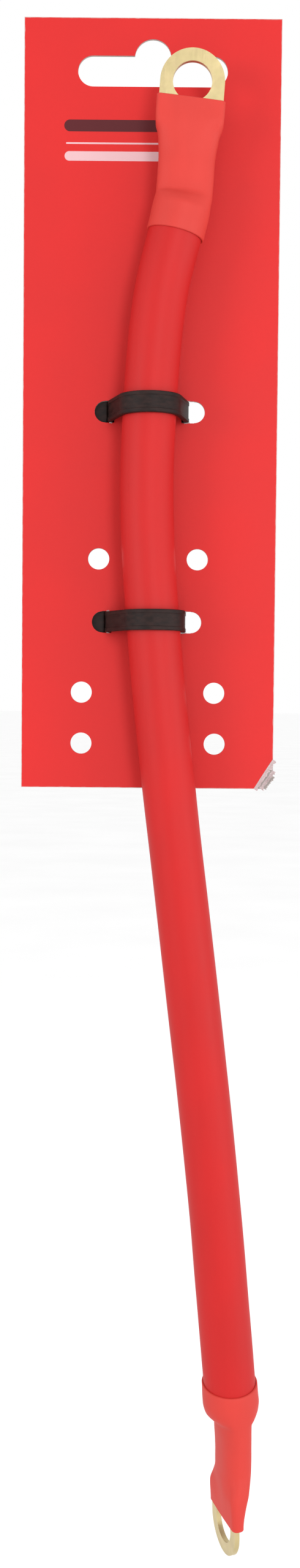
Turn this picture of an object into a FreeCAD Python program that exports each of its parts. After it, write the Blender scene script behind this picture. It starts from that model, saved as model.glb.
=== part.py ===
"""Battery lead tied to a hanging retail card.

A red PVC-covered 37-strand starter cable has a brass eye terminal and a PVC sleeve
at each end. Two nylon cable ties hold it to a three-ply card with a euro hang slot.

Frame: millimetres, +Z up, +X to the right of the printed face, which looks along -Y.
The origin is the centre of the hang slot's round top lobe, at half the card's thickness.
"""

import FreeCAD, Part
import Sketcher
import math
import os
from FreeCAD import Placement, Rotation, Vector

doc = FreeCAD.newDocument("BatteryLead")

# ---------------------------------------------------------------- driving dimensions

DIMENSIONS = (
    ("card_width", 55.0),
    ("card_above_slot", 8.3),
    ("card_below_slot", 156.1),
    ("core_thickness", 0.5),
    ("liner_thickness", 0.15),
    ("slot_width", 32.0),
    ("slot_height", 6.5),
    ("slot_lobe_radius", 3.9),
    ("slot_drop", 6.1),
    ("punch_radius", 2.3),
    ("jacket_radius", 5.7),
    ("jacket_bore_radius", 3.3),
    ("jacket_strip", 2.3),
    ("strand_radius", 0.45),
    ("strand_pitch", 0.93),
    ("lead_standoff", 7.1),
    ("lead_tilt_deg", 0.33),
    ("eye_radius", 4.1),
    ("ring_radius", 6.75),
    ("palm_thickness", 1.1),
    ("eye_reach", 22.75),
    ("barrel_half_width", 5.375),
    ("barrel_half_height", 2.8),
    ("barrel_wall", 1.2),
    ("barrel_start", 1.5),
    ("barrel_end", 13.5),
    ("scarf_length", 4.4),
    ("scarf_foot", 0.5),
    ("flare_start", 11.0),
    ("flare_end", 16.5),
    ("flare_root_half", 2.6),
    ("sleeve_wall", 0.6),
    ("sleeve_overlap", 8.2),
    ("sleeve_neck_start", 0.7),
    ("sleeve_neck_end", 9.6),
    ("sleeve_flare_end", 15.3),
    ("sleeve_reach", 18.5),
    ("strap_width", 4.4),
    ("strap_thickness", 1.1),
    ("head_depth", 5.0),
    ("head_width", 7.0),
    ("head_length", 6.6),
    ("head_past_tail", 2.8),
    ("stub_length", 1.0),
)


def make_sheet():
    """Keep every driving dimension in a sheet cell with an alias."""
    sheet = doc.addObject("Spreadsheet::Sheet", "Dimensions")
    for row, (alias, value) in enumerate(DIMENSIONS, start=1):
        sheet.set(f"A{row}", alias)
        sheet.set(f"B{row}", str(value))
        sheet.setAlias(f"B{row}", alias)
    return sheet


sheet = make_sheet()
doc.recompute()
SIZE = {alias: float(sheet.get(alias)) for alias, _ in DIMENSIONS}

CARD_HALF = SIZE["core_thickness"] / 2 + SIZE["liner_thickness"]
CUT_DEPTH = 4.0
CUT_MARGIN = 1.2

# Spare punched rows and the rows that the ties use: (left x, right x, z).
SPARE_ROWS = ((-10.9, 10.5, -106.4), (-14.5, 14.4, -135.3), (-14.5, 14.6, -146.4))
TIE_ROWS = {"cable_tie_upper": (-9.7, 9.5, -74.8), "cable_tie_lower": (-10.0, 9.2, -120.0)}

# The lead's route from the upper strand ends to the lower ones, as (x, z) in its own plane.
ROUTE = (
    (6.75, -31.0),
    (4.95, -39.0),
    (1.9, -50.5),
    (0.2, -68.0),
    (-0.9, -94.0),
    (1.0, -122.0),
    (4.3, -153.0),
    (9.2, -192.0),
    (14.6, -237.0),
    (17.6, -268.0),
    (20.06, -294.8),
)
ARC_SHARE = 0.45

# Each terminal's lean from the vertical, and the way its palm's outer face looks.
UPPER_LEAN_DEG = 3.8
UPPER_FACING = Vector(0, -1, 0)
LOWER_LEAN_DEG = 2.1
LOWER_FACING = Vector(-0.945, -0.326, 0)

LEAD_PLACE = Placement(
    Vector(0, -SIZE["lead_standoff"], 0),
    Rotation(Vector(1, 0, 0), SIZE["lead_tilt_deg"]),
)


def bind(thing, **formulas):
    """Tie properties to sheet cells."""
    for name, formula in formulas.items():
        thing.setExpression(name.replace("__", "."), formula)


def body_sketch(body, name, role, offset):
    """A sketch on one of a body's own origin planes, moved along its normal."""
    sketch = body.newObject("Sketcher::SketchObject", name)
    plane = [o for o in body.Origin.OriginFeatures if o.Role == role][0]
    sketch.AttachmentSupport = [(plane, "")]
    sketch.MapMode = "FlatFace"
    sketch.setExpression(".AttachmentOffset.Base.z", offset)
    return sketch


def close_outline(sketch, corners):
    """Add a closed chain of straight lines through the corners."""
    first = sketch.GeometryCount
    count = len(corners)
    for i in range(count):
        sketch.addGeometry(Part.LineSegment(corners[i], corners[(i + 1) % count]), False)
    for i in range(count):
        sketch.addConstraint(
            Sketcher.Constraint("Coincident", first + i, 2, first + (i + 1) % count, 1)
        )


# ---------------------------------------------------------------- the card

# Strap notches torn in the tie holes, measured from a hole's centre towards the lead.
NOTCH_REACH_LEFT = 1.95
NOTCH_REACH_RIGHT = 2.75
NOTCH_HALF_WIDTH = 2.35

# The tear at the bottom right corner: how far it runs up the side and along the bottom.
FRONT_TEAR = (6.7, 4.2)
CORE_TEAR = (2.7, 2.0)


def punch(label, x, z):
    """A round cutter through the card."""
    tool = doc.addObject("Part::Cylinder", label)
    bind(tool, Radius="Dimensions.punch_radius")
    tool.Height = 2 * CUT_DEPTH
    tool.Placement = Placement(Vector(x, CUT_DEPTH, z), Rotation(Vector(1, 0, 0), 90))
    return tool


def notch(label, low_x, high_x, z):
    """A strap-wide cutter that opens a tie hole towards the lead."""
    tool = doc.addObject("Part::Box", label)
    tool.Length = high_x - low_x
    tool.Width = 2 * CUT_DEPTH
    tool.Height = 2 * NOTCH_HALF_WIDTH
    tool.Placement.Base = Vector(low_x, -CUT_DEPTH, z - NOTCH_HALF_WIDTH)
    return tool


def slot_tools(ply):
    """The euro slot: a straight slot with round ends and a round lobe at its top."""
    middle = doc.addObject("Part::Box", f"{ply}_slot_middle")
    bind(
        middle,
        Length="Dimensions.slot_width - Dimensions.slot_height",
        Height="Dimensions.slot_height",
        Placement__Base__x="-(Dimensions.slot_width - Dimensions.slot_height) / 2",
        Placement__Base__z="-Dimensions.slot_drop",
    )
    middle.Width = 2 * CUT_DEPTH
    middle.Placement.Base.y = -CUT_DEPTH
    tools = [middle]
    for side, sign in (("left", "-"), ("right", "")):
        end = doc.addObject("Part::Cylinder", f"{ply}_slot_{side}")
        end.Height = 2 * CUT_DEPTH
        end.Placement = Placement(Vector(0, CUT_DEPTH, 0), Rotation(Vector(1, 0, 0), 90))
        bind(
            end,
            Radius="Dimensions.slot_height / 2",
            Placement__Base__x=f"{sign}(Dimensions.slot_width - Dimensions.slot_height) / 2",
            Placement__Base__z="Dimensions.slot_height / 2 - Dimensions.slot_drop",
        )
        tools.append(end)
    lobe = doc.addObject("Part::Cylinder", f"{ply}_slot_lobe")
    lobe.Height = 2 * CUT_DEPTH
    lobe.Placement = Placement(Vector(0, CUT_DEPTH, 0), Rotation(Vector(1, 0, 0), 90))
    bind(lobe, Radius="Dimensions.slot_lobe_radius")
    return tools + [lobe]


def tear_tool(ply, up, along):
    """A triangular prism that takes the torn corner away."""
    corner_x = SIZE["card_width"] / 2
    corner_z = -SIZE["card_below_slot"]
    slope = up / along
    body = doc.addObject("PartDesign::Body", f"{ply}_tear")
    sketch = body_sketch(body, f"{ply}_tear_outline", "XZ_Plane", "0 mm")
    corners = (
        Vector(corner_x - along - CUT_MARGIN / slope, corner_z - CUT_MARGIN, 0),
        Vector(corner_x + CUT_MARGIN, corner_z - CUT_MARGIN, 0),
        Vector(corner_x + CUT_MARGIN, corner_z + up + CUT_MARGIN * slope, 0),
    )
    close_outline(sketch, corners)
    pad = body.newObject("PartDesign::Pad", f"{ply}_tear_block")
    pad.Profile = sketch
    pad.Length = 2 * CUT_DEPTH
    pad.Midplane = True
    return body


def card_ply(label, thickness, front_y, tear):
    """One ply of the card, die-cut with the slot, the punched holes and the notches."""
    sheet_of_card = doc.addObject("Part::Box", f"{label}_blank")
    bind(
        sheet_of_card,
        Length="Dimensions.card_width",
        Width=thickness,
        Height="Dimensions.card_above_slot + Dimensions.card_below_slot",
        Placement__Base__x="-Dimensions.card_width / 2",
        Placement__Base__y=front_y,
        Placement__Base__z="-Dimensions.card_below_slot",
    )
    tools = slot_tools(label)
    for row, (left, right, z) in enumerate(SPARE_ROWS, start=1):
        tools.append(punch(f"{label}_spare_{row}_left", left, z))
        tools.append(punch(f"{label}_spare_{row}_right", right, z))
    for name, (left, right, z) in TIE_ROWS.items():
        tools.append(punch(f"{label}_{name}_left", left, z))
        tools.append(punch(f"{label}_{name}_right", right, z))
        tools.append(notch(f"{label}_{name}_notch_left", left, left + NOTCH_REACH_LEFT, z))
        tools.append(notch(f"{label}_{name}_notch_right", right - NOTCH_REACH_RIGHT, right, z))
    tools.append(tear_tool(label, *tear))
    cutter = doc.addObject("Part::MultiFuse", f"{label}_cutter")
    cutter.Shapes = tools
    ply = doc.addObject("Part::Cut", label)
    ply.Base = sheet_of_card
    ply.Tool = cutter
    ply.Label = label
    return ply


# ---------------------------------------------------------------- the route


def unit(vector):
    return vector * (1.0 / vector.Length)


def side_of(direction):
    """The in-plane normal, 90 degrees from a direction of the route's own XZ plane."""
    return Vector(direction.z, 0, -direction.x)


def route_runs(strip=0.0):
    """The route as straight runs joined by tangent arcs, with a length stripped off each end.

    Each entry is ("line" or "arc", [(point, in-plane normal), ...], radius).
    """
    points = [Vector(x, 0, z) for x, z in ROUTE]
    ways = [unit(b - a) for a, b in zip(points, points[1:])]
    runs = []
    start = (points[0] + ways[0] * strip, side_of(ways[0]))
    for i in range(1, len(points) - 1):
        before, after = ways[i - 1], ways[i]
        shorter = min((points[i] - points[i - 1]).Length, (points[i + 1] - points[i]).Length)
        half_turn = before.getAngle(after) / 2
        back = ARC_SHARE * shorter
        radius = back / math.tan(half_turn)
        inward = unit(after - before)
        centre = points[i] + inward * (back / math.sin(half_turn))
        enter = points[i] - before * back
        leave = points[i] + after * back
        middle = centre - inward * radius
        middle_way = unit(before + after)
        runs.append(("line", [start, (enter, side_of(before))], 0.0))
        arc = [(enter, side_of(before)), (middle, side_of(middle_way)), (leave, side_of(after))]
        runs.append(("arc", arc, radius))
        start = (leave, side_of(after))
    runs.append(("line", [start, (points[-1] - ways[-1] * strip, side_of(ways[-1]))], 0.0))
    return runs


def route_wire(across=0.0, forward=0.0, strip=0.0):
    """The route, or a line parallel to it: across in the plane, forward off the plane."""
    edges = []
    for kind, stations, _ in route_runs(strip):
        spots = [point + normal * across + Vector(0, -forward, 0) for point, normal in stations]
        if kind == "line":
            edges.append(Part.LineSegment(*spots).toShape())
        else:
            edges.append(Part.Arc(*spots).toShape())
    return Part.Wire(edges)


def ring_at(point, way, radius):
    return Part.Wire([Part.Circle(point, way, radius).toShape()])


def tube_along(wire, radius):
    """A solid round bar along a wire."""
    first = wire.Edges[0]
    start = first.valueAt(first.FirstParameter)
    way = first.tangentAt(first.FirstParameter)
    return wire.makePipeShell([ring_at(start, way, radius)], True, False)


def add_feature(label, shape, place):
    """A sub-part whose shape is worked out here. Its placement is set after its shape."""
    feature = doc.addObject("Part::Feature", label)
    feature.Label = label
    feature.Shape = shape
    feature.Placement = place
    return feature


# ---------------------------------------------------------------- the cable


def cable_jacket():
    """The PVC covering, hollow over the strands and stripped back at both ends."""
    path = route_wire(strip=SIZE["jacket_strip"])
    outer = tube_along(path, SIZE["jacket_radius"])
    bore = tube_along(path, SIZE["jacket_bore_radius"])
    jacket = outer.cut(bore)
    section = math.pi * (SIZE["jacket_radius"] ** 2 - SIZE["jacket_bore_radius"] ** 2)
    radii = [round(radius, 1) for kind, _, radius in route_runs() if kind == "arc"]
    print("route arc radii, mm:", radii)
    print("jacket length, mm:", round(path.Length, 2))
    print("jacket volume over section times length:", round(jacket.Volume / section / path.Length, 5))
    return add_feature("cable_jacket", jacket, LEAD_PLACE)


def strands():
    """Thirty-seven copper strands: one at the centre and rings of 6, 12 and 18."""
    made = []
    for layer, count in enumerate((1, 6, 12, 18)):
        ring = layer * SIZE["strand_pitch"]
        for i in range(count):
            angle = 2 * math.pi * i / count
            path = route_wire(ring * math.cos(angle), ring * math.sin(angle))
            label = f"strand_{len(made) + 1:02d}"
            made.append(add_feature(label, tube_along(path, SIZE["strand_radius"]), LEAD_PLACE))
    return made


# ---------------------------------------------------------------- terminals and sleeves


class EndFrame:
    """Where a terminal stands: its strands' ends, its axis, its outer face and its width."""

    def __init__(self, point, way_out, lean_deg, facing):
        self.strand_end = point
        self.way_out = unit(way_out)
        up = 1 if way_out.z > 0 else -1
        lean = math.radians(lean_deg)
        self.axis = Vector(math.sin(lean), 0, up * math.cos(lean))
        self.facing = unit(facing - self.axis * facing.dot(self.axis))
        self.width = self.axis.cross(self.facing)

    def placement(self):
        """Local Z along the axis and local -Y out of the palm's outer face."""
        turn = Rotation(self.width, self.facing * -1, self.axis, "ZXY")
        return LEAD_PLACE.multiply(Placement(self.strand_end, turn))


def end_frames():
    """The two ends of the lead."""
    points = [Vector(x, 0, z) for x, z in ROUTE]
    upper = EndFrame(points[0], points[0] - points[1], UPPER_LEAN_DEG, UPPER_FACING)
    lower = EndFrame(points[-1], points[-1] - points[-2], LOWER_LEAN_DEG, LOWER_FACING)
    return {"upper": upper, "lower": lower}


def add_stadium(sketch, half_width, radius, radius_formula, span_formula):
    """A closed outline of two half circles and two straight sides."""
    first = sketch.GeometryCount
    reach = half_width - radius
    up = Vector(0, 0, 1)
    left = Part.Circle(Vector(-reach, 0, 0), up, radius)
    right = Part.Circle(Vector(reach, 0, 0), up, radius)
    half = math.pi / 2
    sketch.addGeometry(Part.ArcOfCircle(right, -half, half), False)
    sketch.addGeometry(Part.LineSegment(Vector(reach, radius, 0), Vector(-reach, radius, 0)), False)
    sketch.addGeometry(Part.ArcOfCircle(left, half, 3 * half), False)
    sketch.addGeometry(Part.LineSegment(Vector(-reach, -radius, 0), Vector(reach, -radius, 0)), False)
    for i in range(4):
        following = first + (i + 1) % 4
        sketch.addConstraint(Sketcher.Constraint("Tangent", first + i, 2, following, 1))
    rows = [
        Sketcher.Constraint("Symmetric", first, 3, first + 2, 3, -1, 1),
        Sketcher.Constraint("Horizontal", first + 1),
        Sketcher.Constraint("Radius", first, radius),
        Sketcher.Constraint("DistanceX", first + 2, 3, first, 3, 2 * reach),
    ]
    indices = [sketch.addConstraint(row) for row in rows]
    sketch.setExpression(f"Constraints[{indices[2]}]", radius_formula)
    sketch.setExpression(f"Constraints[{indices[3]}]", span_formula)


def barrel_pad(body):
    """The flattened crimp barrel, open at the cable's end."""
    sketch = body_sketch(body, f"{body.Name}_barrel_outline", "XY_Plane", "Dimensions.barrel_start")
    wall = SIZE["barrel_wall"]
    half_width = SIZE["barrel_half_width"]
    half_height = SIZE["barrel_half_height"]
    span = "2 * (Dimensions.barrel_half_width - Dimensions.barrel_half_height)"
    add_stadium(sketch, half_width, half_height, "Dimensions.barrel_half_height", span)
    bore_radius = "Dimensions.barrel_half_height - Dimensions.barrel_wall"
    add_stadium(sketch, half_width - wall, half_height - wall, bore_radius, span)
    pad = body.newObject("PartDesign::Pad", f"{body.Name}_barrel")
    pad.Profile = sketch
    bind(pad, Length="Dimensions.barrel_end - Dimensions.barrel_start")
    return pad


def scarf_pocket(body):
    """The slanting cut that takes the barrel's back away where the palm begins."""
    sketch = body_sketch(body, f"{body.Name}_scarf_outline", "YZ_Plane", "0 mm")
    inner = SIZE["palm_thickness"] - SIZE["barrel_half_height"]
    past = SIZE["barrel_half_height"] + CUT_MARGIN
    cut_low = SIZE["barrel_end"] - SIZE["scarf_length"]
    cut_high = SIZE["barrel_end"] - SIZE["scarf_foot"]
    above = SIZE["barrel_end"] + CUT_MARGIN
    corners = (
        Vector(past, cut_low, 0),
        Vector(past, above, 0),
        Vector(inner, above, 0),
        Vector(inner, cut_high, 0),
    )
    close_outline(sketch, corners)
    pocket = body.newObject("PartDesign::Pocket", f"{body.Name}_scarf")
    pocket.Profile = sketch
    pocket.Midplane = True
    bind(pocket, Length="4 * Dimensions.barrel_half_width")
    return pocket


def palm_pad(body):
    """The flat palm with its round end and its stud hole, flush with one side of the barrel."""
    offset = "Dimensions.barrel_half_height - Dimensions.palm_thickness"
    sketch = body_sketch(body, f"{body.Name}_palm_outline", "XZ_Plane", offset)
    ring = SIZE["ring_radius"]
    eye = SIZE["eye_reach"]
    root = SIZE["flare_root_half"]
    low = SIZE["flare_start"]
    high = SIZE["flare_end"]
    chain = (
        Vector(ring, eye, 0),
        Vector(ring, high, 0),
        Vector(root, low, 0),
        Vector(-root, low, 0),
        Vector(-ring, high, 0),
        Vector(-ring, eye, 0),
    )
    centre = Part.Circle(Vector(0, eye, 0), Vector(0, 0, 1), ring)
    sketch.addGeometry(Part.ArcOfCircle(centre, 0, math.pi), False)
    for a, b in zip(chain, chain[1:]):
        sketch.addGeometry(Part.LineSegment(a, b), False)
    last = sketch.GeometryCount - 1
    for i in range(1, last):
        sketch.addConstraint(Sketcher.Constraint("Coincident", i, 2, i + 1, 1))
    sketch.addConstraint(Sketcher.Constraint("Coincident", 0, 1, 1, 1))
    sketch.addConstraint(Sketcher.Constraint("Coincident", last, 2, 0, 2))
    sketch.addConstraint(Sketcher.Constraint("Vertical", 1))
    sketch.addConstraint(Sketcher.Constraint("Vertical", last))
    sketch.addConstraint(Sketcher.Constraint("PointOnObject", 0, 3, -2))
    outer = sketch.addConstraint(Sketcher.Constraint("Radius", 0, ring))
    reach = sketch.addConstraint(Sketcher.Constraint("DistanceY", -1, 1, 0, 3, eye))
    hole_circle = Part.Circle(Vector(0, eye, 0), Vector(0, 0, 1), SIZE["eye_radius"])
    hole = sketch.addGeometry(hole_circle, False)
    sketch.addConstraint(Sketcher.Constraint("Coincident", hole, 3, 0, 3))
    inner = sketch.addConstraint(Sketcher.Constraint("Radius", hole, SIZE["eye_radius"]))
    sketch.setExpression(f"Constraints[{outer}]", "Dimensions.ring_radius")
    sketch.setExpression(f"Constraints[{reach}]", "Dimensions.eye_reach")
    sketch.setExpression(f"Constraints[{inner}]", "Dimensions.eye_radius")
    pad = body.newObject("PartDesign::Pad", f"{body.Name}_palm")
    pad.Profile = sketch
    bind(pad, Length="Dimensions.palm_thickness")
    return pad


def eye_terminal(label, end):
    """A pressed brass eye terminal: barrel, scarf cut and palm."""
    body = doc.addObject("PartDesign::Body", label)
    body.Label = label
    barrel_pad(body)
    doc.recompute()
    scarf_pocket(body)
    doc.recompute()
    palm_pad(body)
    body.Placement = end.placement()
    return body


def rounded_section(centre, across, normal, half_width, half_height, radius):
    """A closed outline of four sides and four corner arcs, in the plane of two vectors."""

    def spot(a, b):
        return centre + across * a + normal * b

    edges = []
    flat_a = half_width - radius
    flat_b = half_height - radius
    diagonal = radius * math.sqrt(0.5)
    corners = ((1, 1), (-1, 1), (-1, -1), (1, -1))
    for turn, (a, b) in enumerate(corners):
        mid = spot(a * (flat_a + diagonal), b * (flat_b + diagonal))
        on_side = spot(a * half_width, b * flat_b)
        on_end = spot(a * flat_a, b * half_height)
        pair = (on_side, on_end) if turn % 2 == 0 else (on_end, on_side)
        edges.append(Part.Arc(pair[0], mid, pair[1]).toShape())
        after = corners[(turn + 1) % 4]
        if turn % 2 == 0:
            following = spot(after[0] * flat_a, after[1] * half_height)
        else:
            following = spot(after[0] * half_width, after[1] * flat_b)
        edges.append(Part.LineSegment(pair[1], following).toShape())
    return Part.Wire(edges)


# A sleeve's gap over what it covers: at its lip, past the jacket, and over the terminal.
LIP_GAP = 0.06
STEP_GAP = 0.12
TERMINAL_GAP = 0.15
PALM_EDGE_GAP = 0.2
SHOULDER_HALF_HEIGHT = 1.7
PALM_CORNER = 0.5
PAST_JACKET = 0.2

# How far a round outline's corners stop short of a full circle.
NEARLY_ROUND = 0.04


def sleeve_stations(end):
    """Inner outlines along a sleeve: where, which way, how far forward, and its sizes.

    The sizes are half width, half height and corner radius.
    """
    lip = SIZE["jacket_radius"] + LIP_GAP
    step = SIZE["jacket_radius"] + STEP_GAP
    high = SIZE["barrel_half_height"] + TERMINAL_GAP
    wide = SIZE["barrel_half_width"] + TERMINAL_GAP
    palm = SIZE["ring_radius"] + PALM_EDGE_GAP
    shoulder = SHOULDER_HALF_HEIGHT
    mouth = SIZE["palm_thickness"] / 2 + TERMINAL_GAP

    def on_cable(back):
        return end.strand_end - end.way_out * back, end.way_out

    def on_terminal(along):
        return end.strand_end + end.axis * SIZE[along], end.axis

    neck = (0.0, wide, high, high - NEARLY_ROUND)
    return (
        (*on_cable(SIZE["sleeve_overlap"]), 0.0, lip, lip, lip - NEARLY_ROUND),
        (*on_cable(SIZE["jacket_strip"] - PAST_JACKET), 0.0, step, step, step - NEARLY_ROUND),
        (*on_terminal("sleeve_neck_start"), *neck),
        (*on_terminal("sleeve_neck_end"), *neck),
        (*on_terminal("sleeve_flare_end"), high - shoulder, palm, shoulder, PALM_CORNER),
        (*on_terminal("sleeve_reach"), high - mouth, palm, mouth, PALM_CORNER),
    )


def sleeve_skin(end, grow):
    """A closed solid through the sleeve's outlines, grown outwards by a wall."""
    wires = []
    for where, way, forward, half_width, half_height, corner in sleeve_stations(end):
        facing = unit(end.facing - way * end.facing.dot(way))
        across = facing.cross(way)
        centre = where + facing * forward
        size = (half_width + grow, half_height + grow, corner + grow)
        wires.append(rounded_section(centre, across, facing, *size))
    return Part.makeLoft(wires, True, True)


def sleeve(label, end):
    """The PVC sleeve: round on the jacket, flattened over the barrel and the palm."""
    shape = sleeve_skin(end, SIZE["sleeve_wall"]).cut(sleeve_skin(end, 0.0))
    return add_feature(label, shape, LEAD_PLACE)


# The gap all round the pressed strands in the barrel, and at the bundle's start and end.
BUNDLE_GAP = 0.05
BUNDLE_START = 0.02
BUNDLE_LEAD_IN = 0.1
BUNDLE_SHORT_OF_PALM = 0.6


def conductor_end(label, end):
    """The strands' ends, pressed together into the barrel's shape."""
    bundle = 3 * SIZE["strand_pitch"] + SIZE["strand_radius"] - NEARLY_ROUND
    half_width = SIZE["barrel_half_width"] - SIZE["barrel_wall"] - BUNDLE_GAP
    half_height = SIZE["barrel_half_height"] - SIZE["barrel_wall"] - BUNDLE_GAP
    enter = SIZE["barrel_start"] - BUNDLE_LEAD_IN
    stop = SIZE["flare_start"] - BUNDLE_SHORT_OF_PALM
    stations = (
        (end.strand_end + end.way_out * BUNDLE_START, end.way_out, bundle, bundle),
        (end.strand_end + end.axis * enter, end.axis, half_width, half_height),
        (end.strand_end + end.axis * stop, end.axis, half_width, half_height),
    )
    wires = []
    for where, way, wide, high in stations:
        facing = unit(end.facing - way * end.facing.dot(way))
        across = facing.cross(way)
        wires.append(rounded_section(where, across, facing, wide, high, high - NEARLY_ROUND))
    return add_feature(label, Part.makeLoft(wires, True, True), LEAD_PLACE)


# ---------------------------------------------------------------- cable ties

STRAP_GAP = 0.32
CARD_GAP = 0.1
BACK_BEND = 1.3
LEFT_BEND = 2.0
WINDOW_GAP = 0.1
HOLE_GAP = 0.15

# Where the strap's tail passes the left hole, how far in front of the card it starts to
# bend back, and how far its other end is buried in the head.
TAIL_PAST_HOLE = 1.1
BEND_OFF_CARD = 0.5
ROOT_IN_HEAD = 0.6

# How many points the route is measured at to find the lead at a height.
ROUTE_SAMPLES = 2000


def lead_at(height):
    """The lead's centre at a height, in the part's frame."""
    path = route_wire()
    spots = [LEAD_PLACE.multVec(point) for point in path.discretize(ROUTE_SAMPLES)]
    nearest = min(spots, key=lambda point: abs(point.z - height))
    return nearest.x, nearest.y


def left_of(direction):
    return Vector(-direction.y, direction.x, 0)


def tangent_way(first, first_radius, second, second_radius):
    """The direction of the line that leaves one clockwise arc and joins the next."""
    gap = second - first
    bearing = math.atan2(gap.y, gap.x)
    angle = bearing + math.acos((first_radius - second_radius) / gap.Length)
    left = Vector(math.cos(angle), math.sin(angle), 0)
    return Vector(left.y, -left.x, 0)


def strap_path(left_x, right_x, height):
    """The strap's middle line, clockwise from the head along the back and over the lead."""
    thickness = SIZE["strap_thickness"]
    lead_x, lead_y = lead_at(height)
    wrap = SIZE["jacket_radius"] + STRAP_GAP + thickness / 2
    back_y = CARD_HALF + CARD_GAP + thickness / 2
    tail_x = left_x + TAIL_PAST_HOLE
    pass_x = right_x - SIZE["punch_radius"] + HOLE_GAP + thickness / 2
    head_right = tail_x + SIZE["head_past_tail"]
    circles = (
        (Vector(pass_x - BACK_BEND, back_y - BACK_BEND, 0), BACK_BEND),
        (Vector(lead_x, lead_y, 0), wrap),
        (Vector(tail_x + LEFT_BEND, -CARD_HALF - BEND_OFF_CARD, 0), LEFT_BEND),
    )
    ways = [Vector(1, 0, 0)]
    for (a, ra), (b, rb) in zip(circles, circles[1:]):
        ways.append(tangent_way(a, ra, b, rb))
    ways.append(Vector(0, 1, 0))
    edges = []
    start = Vector(head_right - ROOT_IN_HEAD, back_y, 0)
    for (centre, radius), enter, leave in zip(circles, ways, ways[1:]):
        arc_start = centre + left_of(enter) * radius
        arc_end = centre + left_of(leave) * radius
        arc_mid = centre + left_of(unit(enter + leave)) * radius
        edges.append(Part.LineSegment(start, arc_start).toShape())
        edges.append(Part.Arc(arc_start, arc_mid, arc_end).toShape())
        start = arc_end
    tail_end = CARD_HALF + CARD_GAP + SIZE["head_depth"] + SIZE["stub_length"]
    edges.append(Part.LineSegment(start, Vector(start.x, tail_end, 0)).toShape())
    path = Part.Wire(edges)
    path.translate(Vector(0, 0, height))
    return path, tail_x


def cable_tie(label, left_x, right_x, height):
    """A nylon tie: head behind the card, strap round the lead, tail through the head."""
    path, tail_x = strap_path(left_x, right_x, height)
    thickness = SIZE["strap_thickness"]
    width = SIZE["strap_width"]
    first = path.Edges[0]
    start = first.valueAt(first.FirstParameter)
    across = Vector(0, thickness / 2, 0)
    rise = Vector(0, 0, width / 2)
    corners = [start - across - rise, start + across - rise, start + across + rise,
               start - across + rise, start - across - rise]
    strap = path.makePipeShell([Part.makePolygon(corners)], True, False)
    head_low = Vector(
        tail_x + SIZE["head_past_tail"] - SIZE["head_length"],
        CARD_HALF + CARD_GAP,
        height - SIZE["head_width"] / 2,
    )
    head = Part.makeBox(SIZE["head_length"], SIZE["head_depth"], SIZE["head_width"], head_low)
    window = Part.makeBox(
        thickness + 2 * WINDOW_GAP,
        3 * SIZE["head_depth"],
        width + 2 * WINDOW_GAP,
        Vector(
            tail_x - thickness / 2 - WINDOW_GAP,
            -SIZE["head_depth"],
            height - width / 2 - WINDOW_GAP,
        ),
    )
    tie = strap.fuse(head.cut(window)).removeSplitter()
    return add_feature(label, tie, Placement())


# ---------------------------------------------------------------- the whole part


def build():
    """Make every sub-part and return them in order."""
    half_core = "Dimensions.core_thickness / 2"
    liner = "Dimensions.liner_thickness"
    made = [
        card_ply("card_front_liner", liner, f"-{half_core} - {liner}", FRONT_TEAR),
        card_ply("card_core", "Dimensions.core_thickness", f"-{half_core}", CORE_TEAR),
        card_ply("card_back_liner", liner, half_core, CORE_TEAR),
        cable_jacket(),
    ]
    made += strands()
    for side, end in end_frames().items():
        made.append(conductor_end(f"conductor_end_{side}", end))
        made.append(eye_terminal(f"terminal_{side}", end))
        made.append(sleeve(f"sleeve_{side}", end))
    for label, row in TIE_ROWS.items():
        made.append(cable_tie(label, *row))
    doc.recompute()
    return made


def check(made):
    """Stop before writing if any object failed or any shape is missing or broken."""
    for thing in doc.Objects:
        if "Invalid" in thing.State or "Error" in thing.State:
            raise RuntimeError(f"{thing.Name} is {thing.State}")
    for thing in made:
        if thing.Shape.isNull() or not thing.Shape.isValid() or len(thing.Shape.Solids) != 1:
            raise RuntimeError(f"{thing.Label} is not one valid solid")


def write(made):
    """Write one STEP file for each sub-part."""
    os.makedirs("parts", exist_ok=True)
    for thing in made:
        thing.Shape.exportStep(f"parts/{thing.Label}.step")


def report_eyes():
    """Print where each stud hole is and which way it looks."""
    middle = SIZE["palm_thickness"] / 2 - SIZE["barrel_half_height"]
    for side, end in end_frames().items():
        place = end.placement()
        centre = place.multVec(Vector(0, middle, SIZE["eye_reach"]))
        facing = place.Rotation.multVec(Vector(0, -1, 0))
        print(side, "eye at", [round(c, 4) for c in centre], "looks", [round(c, 5) for c in facing])


parts = build()
check(parts)
write(parts)
report_eyes()
print(len(parts), "sub-parts written")
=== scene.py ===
"""Looks for a red battery lead tied to a hanging retail card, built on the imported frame."""

import math

import bmesh
import bpy
from bpy.props import FloatProperty, FloatVectorProperty, PointerProperty
from mathutils import Matrix, Vector, noise


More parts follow.
